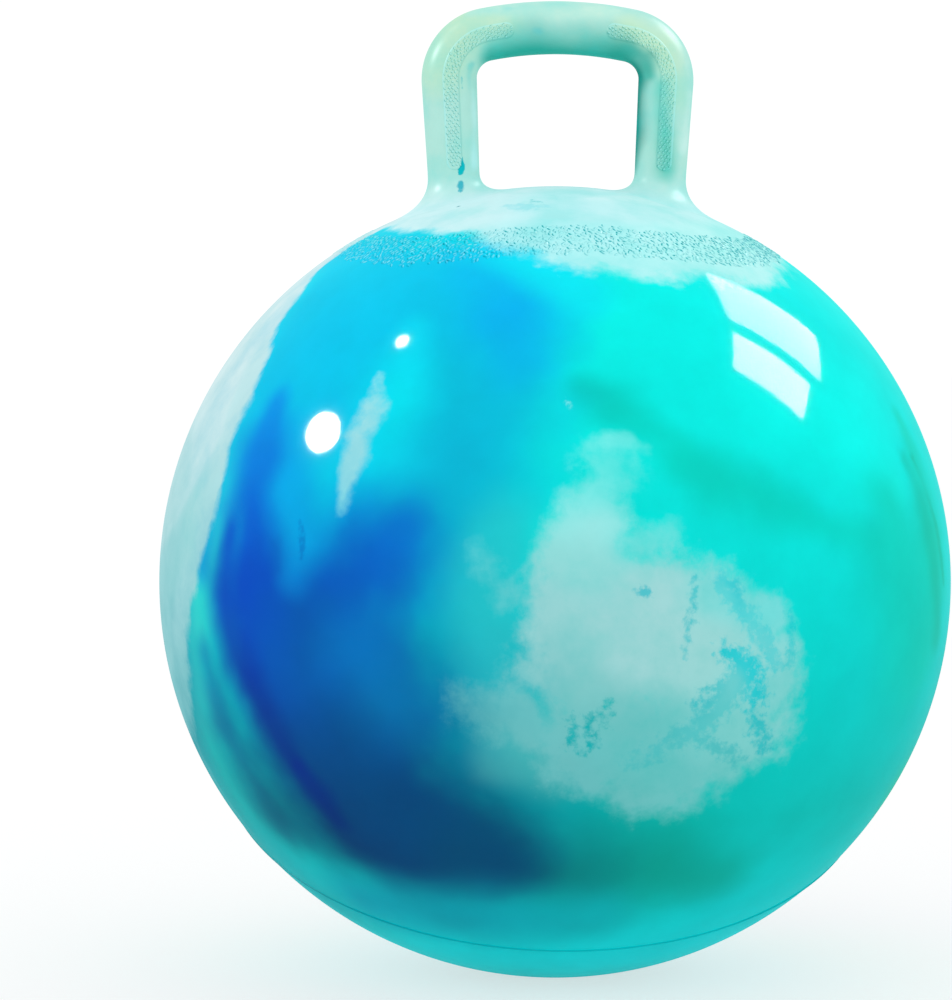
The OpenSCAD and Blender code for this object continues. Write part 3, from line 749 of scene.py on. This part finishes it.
# The grip strips
# Four raised strips with round ends, moulded on the front and the back of each half of the handle
# from the bar round the corner and down the leg, and stippled so that a hand doesn't slip.
STRIP_H = 0.0006
STRIP_EDGE = 0.0013
STRIP_SINK = 0.0001
STRIP_BURIED = 0.0012
STRIP_TIP = 0.0003
STRIP_END_RINGS = 13
STRIP_MIDDLE_RINGS = 88
STRIP_ACROSS = np.sin(np.linspace(-math.pi / 2, math.pi / 2, 25))
STRIP_LINE = 0.78
# The painted highlight along a strip's outer edge and the painted shade along its inner edge.
STRIP_PAINTED_HIGHLIGHT = -0.7
STRIP_PAINTED_SHADE = 0.2
DOT_PITCH = 0.0021
DOT_ROW = 0.87 * DOT_PITCH
DOT_RUN_SHIFT = 0.0004
DOT_ACROSS_SHIFT = 0.0003
DOT_SLANT = 0.7
DOT_EDGE = 0.00002
DOT_R = 0.00078
DOT_VARIES = (0.75, 1.15)
DOT_LONG = 1.4
DOT_H = 0.0004
# How deep the painted shade and painted highlight on each dot's sides are, and the painted highlight on its
# tip.
DOT_PAINTED_LIGHT_DEPTH = 0.75
DOT_TIP_PAINTED_HIGHLIGHT = -1.0
DOME_SPOKES = 8
SHOULDER_SHARE = 0.62
SHOULDER_LIFT = 0.66
DOME_SINK = 0.25
STIPPLE_SEED = 7
SIDES = [(x, y) for x in (1, -1) for y in (1, -1)]


def into_end(run):
    """How far a run lies into a strip's round end: nothing along its straight part."""
    straight = (STRIP_RUN - STRIP_GAP - STRIP_W) / 2
    return np.maximum(np.abs(run - (STRIP_GAP + STRIP_RUN) / 2) - straight, 0)


def strip_lift(run, across):
    """Height of a strip over the grip: nothing at its edge, rising as a quarter circle to its top."""
    inside = np.clip((STRIP_W / 2 - np.hypot(into_end(run), across)) / STRIP_EDGE, 0, 1)
    return (STRIP_H + STRIP_SINK) * np.sqrt(1 - (1 - inside) ** 2) - STRIP_SINK


def on_strip(run, across, side):
    """The place on a strip, and its outward normal, at a run along the grip and a distance across it."""
    point, out = middle_line(run)
    angle = side * (math.pi / 2 + side * across[..., None] / (GRIP_DEPTH / 2))
    thick = thickness(run)[..., None]
    place = round_grip(point, out, thick, angle)
    normal = unit(np.cos(angle) * out / thick + np.sin(angle) * BACKWARDS / GRIP_DEPTH)
    return place + strip_lift(run, across)[..., None] * normal, normal


def flipped(points, x):
    """The points, mirrored to the other side where x is -1."""
    return points * np.array([float(x), 1.0, 1.0])


def strip_surface(x, y):
    """A strip as closed rings across its length: over its top, and back under the skin of the grip."""
    half = STRIP_W / 2
    turn = np.linspace(0, math.pi / 2, STRIP_END_RINGS + 1)[1:]
    ends = half * (1 - np.sin(turn))[::-1]
    straight = np.linspace(STRIP_GAP + half, STRIP_RUN - half, STRIP_MIDDLE_RINGS + 2)[1:-1]
    run = np.concatenate([STRIP_GAP + ends, straight, STRIP_RUN - ends[::-1]])
    reach = np.sqrt(np.maximum(half ** 2 - into_end(run) ** 2, STRIP_TIP ** 2))
    across = reach[:, None] * STRIP_ACROSS
    top, normal = on_strip(np.repeat(run[:, None], len(STRIP_ACROSS), axis=1), across, y)
    under = (top - STRIP_BURIED * normal)[:, -2:0:-1]
    rings = flipped(np.concatenate([top, under], axis=1), x) + BALL_MIDDLE
    return rings if x < 0 else rings[::-1]


def strip_painted_light(y):
    """A painted highlight along the strip's outer edge and painted shade along its inner edge: by the share
    across, for each ring's top and underside, and then for the two poles."""
    outwards = -y * STRIP_ACROSS
    top = np.where(outwards > STRIP_LINE, STRIP_PAINTED_HIGHLIGHT, np.where(outwards < -STRIP_LINE, STRIP_PAINTED_SHADE, 0.0))
    ring = np.concatenate([top, np.zeros(len(top) - 2)])
    return np.concatenate([np.tile(ring, 2 * STRIP_END_RINGS + STRIP_MIDDLE_RINGS), np.zeros(2)])


def dome_cluster(name, centres, normals, longs, half_length, half_width, height):
    """Many low domes as one mesh: round each centre, a tip and two rings, the outer ring just sunk and
    closed underneath. A point is the centre + long side + cross side + normal, each by its own share."""
    spokes = DOME_SPOKES
    crosses = np.cross(normals, longs)
    share = np.concatenate([[0], np.full(spokes, SHOULDER_SHARE), np.ones(spokes)])
    lift = np.concatenate([[1], np.full(spokes, SHOULDER_LIFT), np.full(spokes, -DOME_SINK)])
    turn = turns(spokes)
    cos, sin = [np.concatenate([[0], wave, wave]) for wave in (np.cos(turn), np.sin(turn))]
    points = (centres[:, None] + (share * cos)[:, None] * (half_length[:, None] * longs)[:, None]
              + (share * sin)[:, None] * (half_width[:, None] * crosses)[:, None]
              + lift[:, None] * (height[:, None] * normals)[:, None])
    ring = np.arange(spokes)
    after = np.roll(ring, -1)
    tip = np.stack([0 * ring, 1 + ring, 1 + after], axis=1)
    skirt = np.stack([1 + ring, 1 + spokes + ring, 1 + spokes + after, 1 + after], axis=1)
    first = np.arange(len(centres))[:, None, None] * (2 * spokes + 1)
    faces = (tip[None] + first).reshape(-1, 3).tolist() + (skirt[None] + first).reshape(-1, 4).tolist()
    faces += (1 + spokes + ring[::-1][None] + first[:, 0]).tolist()
    return shown(name, points.reshape(-1, 3), faces)


def dome_painted_light(painted_light_depths, tip):
    """The painted light of each dome's points: its tip, then two rings with painted shade on one long side
    and a painted highlight on the other, each by the sine of the way round times the dome's depth."""
    ring = np.sin(turns(DOME_SPOKES))
    return (painted_light_depths[:, None] * np.concatenate([[tip], ring, ring])).ravel()


def stipple(x, y, chance):
    """Dots in slanting rows on a strip, each a little out of its place and kept off the rounded edge."""
    rows = np.arange(STRIP_GAP, STRIP_RUN, DOT_ROW)
    run, across = np.meshgrid(rows, np.arange(-4, 5) * DOT_PITCH, indexing="ij")
    across = across + (np.arange(len(rows)) % 2)[:, None] * DOT_PITCH / 2
    run = run + chance.uniform(-DOT_RUN_SHIFT, DOT_RUN_SHIFT, run.shape)
    across = across + chance.uniform(-DOT_ACROSS_SHIFT, DOT_ACROSS_SHIFT, run.shape)
    keep = strip_lift(run, across) > STRIP_H - DOT_EDGE
    place, normal = on_strip(run[keep], across[keep], y)
    out = middle_line(run[keep])[1]
    slant = np.cross(out, BACKWARDS) + DOT_SLANT * out
    slant = unit(slant - np.sum(slant * normal, axis=-1, keepdims=True) * normal)
    return [flipped(part, x) for part in (place, normal, slant)]


for x, y in SIDES:
    strip = grid_mesh(f"grip_strip_{'front' if y < 0 else 'back'}_{'right' if x > 0 else 'left'}",
                      strip_surface(x, y), first_pole=True, last_pole=True)
    pour(strip, handle_vinyl, painted_light=strip_painted_light(y))
    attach(strip, "ball")
chance = np.random.RandomState(STIPPLE_SEED)
dots = [np.concatenate(parts) for parts in zip(*[stipple(x, y, chance) for x, y in SIDES])]
size = DOT_R * chance.uniform(*DOT_VARIES, len(dots[0]))
grip_dots = dome_cluster("grip_stipple", dots[0] + BALL_MIDDLE, dots[1], dots[2],
                         size * DOT_LONG, size, np.full(len(size), DOT_H))
# The dots carry painted shade on one side and painted highlights on the other side and on their tips.
pour(grip_dots, handle_vinyl, painted_light=dome_painted_light(np.full(len(size), DOT_PAINTED_LIGHT_DEPTH), DOT_TIP_PAINTED_HIGHLIGHT))
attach(grip_dots, "ball")

# The grain round the neck
# A band of pebble grain is etched in the mould round the neck, to hide the marks of the inserts that
# form the handle. Its grains are low, and longer towards the handle than across.
BAND_OUTER = (0.127, 0.125)
BAND_INNER = (0.108, 0.098)
BAND_POWER = 2.5
BAND_RAGGED = 0.012
BAND_SHARE = 0.11
GRAIN_AREA = 7.6e-6
GRAIN_SHIFT = 0.0010
GRAIN_TILT = 0.55
GRAIN_SIZE = np.array([[0.00190], [0.00115], [0.00042]])
GRAIN_VARIES = (0.7, 1.2)
# How deep the painted shade and painted highlight of each grain are, and the slight painted shade on its
# tip.
GRAIN_PAINTED_LIGHT_DEPTHS = (0.2, 1.3)
GRAIN_TIP_PAINTED_SHADE = 0.1
GRAIN_SEED = 11


def band_reach(points, half_sizes):
    """A superellipse seen from above: ((|x| / a)^n + (|y| / b)^n)^(1 / n), which is 1 on its line."""
    return sum((np.abs(points[:, k]) / half_sizes[k]) ** BAND_POWER for k in (0, 1)) ** (1 / BAND_POWER)


def neck_grain():
    """Points spread evenly by the golden angle, jittered, and kept between two superellipses. Each carries
    a low oval dome that points roughly towards the handle, and has its own depth of painted shade and
    painted highlight.
    A grain's size is its half length, its half width and its height."""
    chance = np.random.RandomState(GRAIN_SEED)
    count = int(4 * math.pi * BALL_R ** 2 / GRAIN_AREA)
    k = np.arange(int(count * BAND_SHARE))
    z = 1 - 2 * (k + 0.5) / count
    turn = k * math.pi * (3 - math.sqrt(5))
    level = np.sqrt(1 - z * z)
    points = BALL_R * np.stack([level * np.cos(turn), level * np.sin(turn), z], axis=1)
    points += chance.uniform(-GRAIN_SHIFT, GRAIN_SHIFT, points.shape)
    ragged = chance.uniform(-BAND_RAGGED, BAND_RAGGED, len(points))
    keep = (band_reach(points, BAND_OUTER) + ragged < 1) & (band_reach(points, BAND_INNER) + ragged > 1)
    normals = unit(points[keep])
    rise = unit(np.array([0, 0, 1.0]) - normals[:, 2:] * normals)
    tilt = chance.normal(0, GRAIN_TILT, len(normals))[:, None]
    longs = np.cos(tilt) * rise + np.sin(tilt) * np.cross(normals, rise)
    sizes = GRAIN_SIZE * chance.uniform(*GRAIN_VARIES, (3, len(normals)))
    domes = dome_cluster("neck_grain", normals * BALL_R + BALL_MIDDLE, normals, longs, *sizes)
    return domes, chance.uniform(*GRAIN_PAINTED_LIGHT_DEPTHS, len(normals))


grain, painted_light_depths = neck_grain()
# The grains carry painted shade along one long side and a painted highlight along the other.
pour(grain, ball_vinyl, painted_light=dome_painted_light(painted_light_depths, GRAIN_TIP_PAINTED_SHADE))
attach(grain, "ball")

# The valve seat
# A soft moulded insert, bonded into the hole in the skin from inside: a rim, an inner flange and a
# collar round the bore, with a recess for the plug's head.
RIM_R = 0.0105
FLANGE_R = 0.016
FLANGE_TOP = -0.0015
FLANGE_UNDER = -0.0031
FLANGE_TAPER = 0.0004
COLLAR_R = 0.00725
SEAT_DEPTH = -0.010
RECESS_R = 0.0087
RECESS_FLOOR = -0.0019
BORE_R = 0.0042
SEAT_EASE = 0.0004
EASE_STEPS = 5
VALVE_SPOKES = 96


def ball_drop(radius):
    """How far the ball's surface lies below its plane through the valve's axis, at a radius."""
    return math.sqrt(BALL_R ** 2 - radius ** 2) - BALL_R


def eased(profile, ease, closed):
    """A profile with its corners rounded: each corner is replaced by a curve that starts and ends the
    ease away from it, or two fifths of the side where that is less."""
    profile = np.array(profile)
    before, after = np.roll(profile, 1, axis=0), np.roll(profile, -1, axis=0)
    if not closed:
        before[0], after[-1] = profile[0], profile[-1]
    lengths = [np.linalg.norm(side - profile, axis=1, keepdims=True) for side in (before, after)]
    near, far = [profile + (side - profile) * np.minimum(ease / np.maximum(length, 1e-9), 0.4)
                 for side, length in zip((before, after), lengths)]
    share = np.linspace(0, 1, EASE_STEPS)[None, :, None]
    return bent(near[:, None], profile[:, None], far[:, None], share).reshape(-1, 2)


def turned(name, profile, closed):
    """A profile of radius and height turned round the valve's axis, with height 0 at the ball's skin."""
    radius, height = [profile[:, k][:, None, None] for k in (0, 1)]
    out = round_axis(VALVE_AXIS, turns(VALVE_SPOKES)[None, :, None])
    points = BALL_MIDDLE + radius * out + (BALL_R + height) * VALVE_AXIS
    return grid_mesh(name, points, along=closed, first_pole=not closed, last_pole=not closed)


def soft_plastic(name, code, finish_group, gloss, dull):
    """Plain moulded plastic: a slightly cloudy colour over the moulded finish."""
    material, tree, shader, place = moulded(name, finish_group, gloss, dull, strength=0.2, height=0.0002)
    pale = (*linear(code), 1.0)
    shaded = (*linear(code) * 0.90, 1.0)
    cloudy = mixed(tree, noise(tree, place, scale=120, detail=4), pale, shaded)
    tree.links.new(cloudy, shader.inputs["Base Color"])
    return material


seat_profile = eased([(BORE_R, SEAT_DEPTH), (BORE_R, RECESS_FLOOR), (RECESS_R, RECESS_FLOOR),
                      (RECESS_R, ball_drop(RECESS_R)), (RIM_R, ball_drop(RIM_R)), (RIM_R, FLANGE_TOP),
                      (FLANGE_R, FLANGE_TOP - FLANGE_TAPER), (FLANGE_R, FLANGE_UNDER),
                      (COLLAR_R, FLANGE_UNDER), (COLLAR_R, SEAT_DEPTH)], SEAT_EASE, closed=True)
valve_seat = turned("valve_seat_insert", seat_profile, closed=True)
seat_vinyl = soft_plastic("seat_vinyl", "#DCEDEF", finish_group, gloss=0.34, dull=0.46)
valve_seat.data.materials.append(seat_vinyl)
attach(valve_seat, "ball")
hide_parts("valve_seat")

# The plug
# A white push-in stopper with a shallow domed head, three sealing rings and a hollow core. It is
# pulled straight out to blow the ball up, and pushed in flush with the skin.
PLUG_HEAD_R = 0.0084
PLUG_HEAD_T = 0.0015
PLUG_DOME_H = 0.0003
PLUG_DOME_STEPS = 12
PLUG_LEN = 0.017
PLUG_WAIST_R = 0.0036
PLUG_TIP_R = 0.0028
PLUG_RING_R = 0.00415
PLUG_RING_H = 0.0012
PLUG_RING_SHARES = [0.16, 0.42, 0.68]
PLUG_CORE_R = 0.0017
PLUG_CORE_LEN = 0.013
PLUG_MIDDLE_R = 0.0002
PLUG_EASE = 0.0002


def plug_profile():
    """Dome, head, stem with rings, tip and core, from the middle of the head round to the core's end."""
    radius = np.linspace(PLUG_MIDDLE_R, PLUG_HEAD_R, PLUG_DOME_STEPS)
    dome = RECESS_FLOOR + PLUG_HEAD_T + PLUG_DOME_H * (1 - (radius / PLUG_HEAD_R) ** 2)
    stem = [(PLUG_HEAD_R, RECESS_FLOOR), (PLUG_WAIST_R, RECESS_FLOOR)]
    for share in PLUG_RING_SHARES:
        level = RECESS_FLOOR - PLUG_LEN * share
        stem += [(PLUG_WAIST_R, level + PLUG_RING_H), (PLUG_RING_R, level + PLUG_RING_H / 4),
                 (PLUG_RING_R, level - PLUG_RING_H / 4), (PLUG_WAIST_R, level - PLUG_RING_H)]
    end = RECESS_FLOOR - PLUG_LEN
    core = [(PLUG_TIP_R, end), (PLUG_CORE_R, end), (PLUG_CORE_R, end + PLUG_CORE_LEN),
            (PLUG_MIDDLE_R, end + PLUG_CORE_LEN)]
    return eased(list(zip(radius, dome)) + stem + core, PLUG_EASE, closed=False)


valve_plug = turned("valve_stopper", plug_profile(), closed=False)
plug_plastic = soft_plastic("plug_plastic", "#F2F5F5", finish_group, gloss=0.22, dull=0.32)
valve_plug.data.materials.append(plug_plastic)
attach(valve_plug, "plug")
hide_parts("valve_plug")

# The floor and the light
# A plain white floor under an even white sky. A round lamp stands high on the left with a small one
# over it, and a window of two panes lies behind on the right. The ball mirrors all four.
FLOOR_R = 9.0
FLOOR_MIDDLE = 0.02
FLOOR_RINGS = 24
FLOOR_SPOKES = 64
# A lamp is its shape, its place in degrees round and above, how far it is turned in its own plane, its
# width and height, and its brightness. Only glossy surfaces show it, so the shading stays even.
LAMPS = {
    "round_lamp": ("ELLIPSE", -87.9, 32.7, -5, 0.54, 0.37, 480.0),
    "small_lamp": ("ELLIPSE", -92.8, 57.4, -16, 0.15, 0.12, 480.0),
    "window_pane_near": ("RECTANGLE", 91.8, 43.7, 14, 0.55, 0.80, 125.0),
    "window_pane_far": ("RECTANGLE", 118.0, 44.4, -3, 0.72, 0.92, 72.0),
}
LAMP_DISTANCE = 2.5


def floor_finish():
    """White to the camera, in mirrors and through glass, and a little greyer to the light that it
    sends back up. It glows faintly, as a light table does, which fills the shade under the ball."""
    material, tree, shader = new_material("floor_white")
    seen = put(tree, "LightPath", {}).outputs
    mirrored = math_of(tree, "MAXIMUM", seen["Is Glossy Ray"], seen["Is Transmission Ray"])
    plain = math_of(tree, "MAXIMUM", seen["Is Camera Ray"], mirrored)
    for socket, low, high in (("Base Color", 0.68, 0.40), ("Emission Color", 0.20, 0.60)):
        grey = mixed(tree, plain, (low, low, low, 1), (high, high, high, 1))
        tree.links.new(grey, shader.inputs[socket])
    give(shader, {"Emission Strength": 1.0, "Roughness": 0.9, "Specular IOR Level": 0.0})
    return material


def floor_disc():
    """A flat disc in rings, finer towards the ball."""
    radius = FLOOR_R * np.linspace(FLOOR_MIDDLE, 1, FLOOR_RINGS)[:, None] ** 2
    turn = turns(FLOOR_SPOKES)[None, :]
    return np.stack([radius * np.cos(turn), radius * np.sin(turn), 0 * radius * turn], axis=-1)[::-1]


def white_sky(strength):
    """An even white light all round, which is also the background."""
    world = bpy.data.worlds.new("white_sky")
    bpy.context.scene.world = world
    world.use_nodes = True
    give(world.node_tree.nodes["Background"], {"Color": (1, 1, 1, 1), "Strength": strength})


def lamp(name, shape, turn, rise, spin, width, height, brightness):
    """An area lamp that faces the ball. Its power is brightness x pi x its area."""
    data = bpy.data.lights.new(name, "AREA")
    data.shape = shape
    data.size, data.size_y = width, height
    area = width * height * (math.pi / 4 if shape == "ELLIPSE" else 1)
    data.energy = brightness * math.pi * area
    away = Vector(towards(turn, rise))
    piece = bpy.data.objects.new(name, data)
    facing = away.to_track_quat("Z", "Y").to_matrix() @ Matrix.Rotation(math.radians(spin), 3, "Z")
    piece.matrix_world = Matrix.Translation(Vector(BALL_MIDDLE) + away * LAMP_DISTANCE) @ facing.to_4x4()
    piece.visible_diffuse = False
    bpy.context.scene.collection.objects.link(piece)


floor = grid_mesh("floor", floor_disc(), last_pole=True)
floor.data.materials.append(floor_finish())
white_sky(strength=1.03)
for name, values in LAMPS.items():
    lamp(name, *values)
bpy.context.scene.view_settings.view_transform = "Standard"
